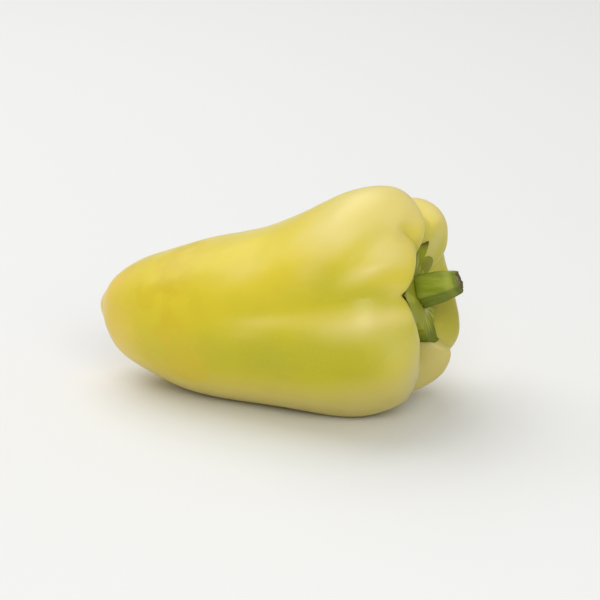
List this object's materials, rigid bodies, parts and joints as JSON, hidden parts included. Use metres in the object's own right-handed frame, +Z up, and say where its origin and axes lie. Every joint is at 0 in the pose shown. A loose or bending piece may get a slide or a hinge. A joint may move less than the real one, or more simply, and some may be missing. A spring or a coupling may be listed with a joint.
{
  "type": "sweet pepper",
  "caption": "Conical, lobed sweet pepper lying on its side, pale yellow-green and waxy, with a green calyx and a short cut stem.",
  "frame": {"origin": "middle of the whole object's box at table level, under the fruit", "axes": "+X from the blossom end toward the stem end, +Y away from the viewer of the picture, +Z up; the fruit lies on its side"},
  "size_m": [0.1374, 0.078, 0.0819],
  "materials": {
    "fruit_skin": "waxy pepper skin, pale yellow-green, soft gloss",
    "calyx_leaf": "olive green calyx, satin",
    "stem_green": "green ribbed stem, satin, dull brownish cut end"
  },
  "bodies": {
    "root": {"fruit": "fruit_skin", "calyx": "calyx_leaf", "stem": "stem_green"}
  },
  "joints": []
}
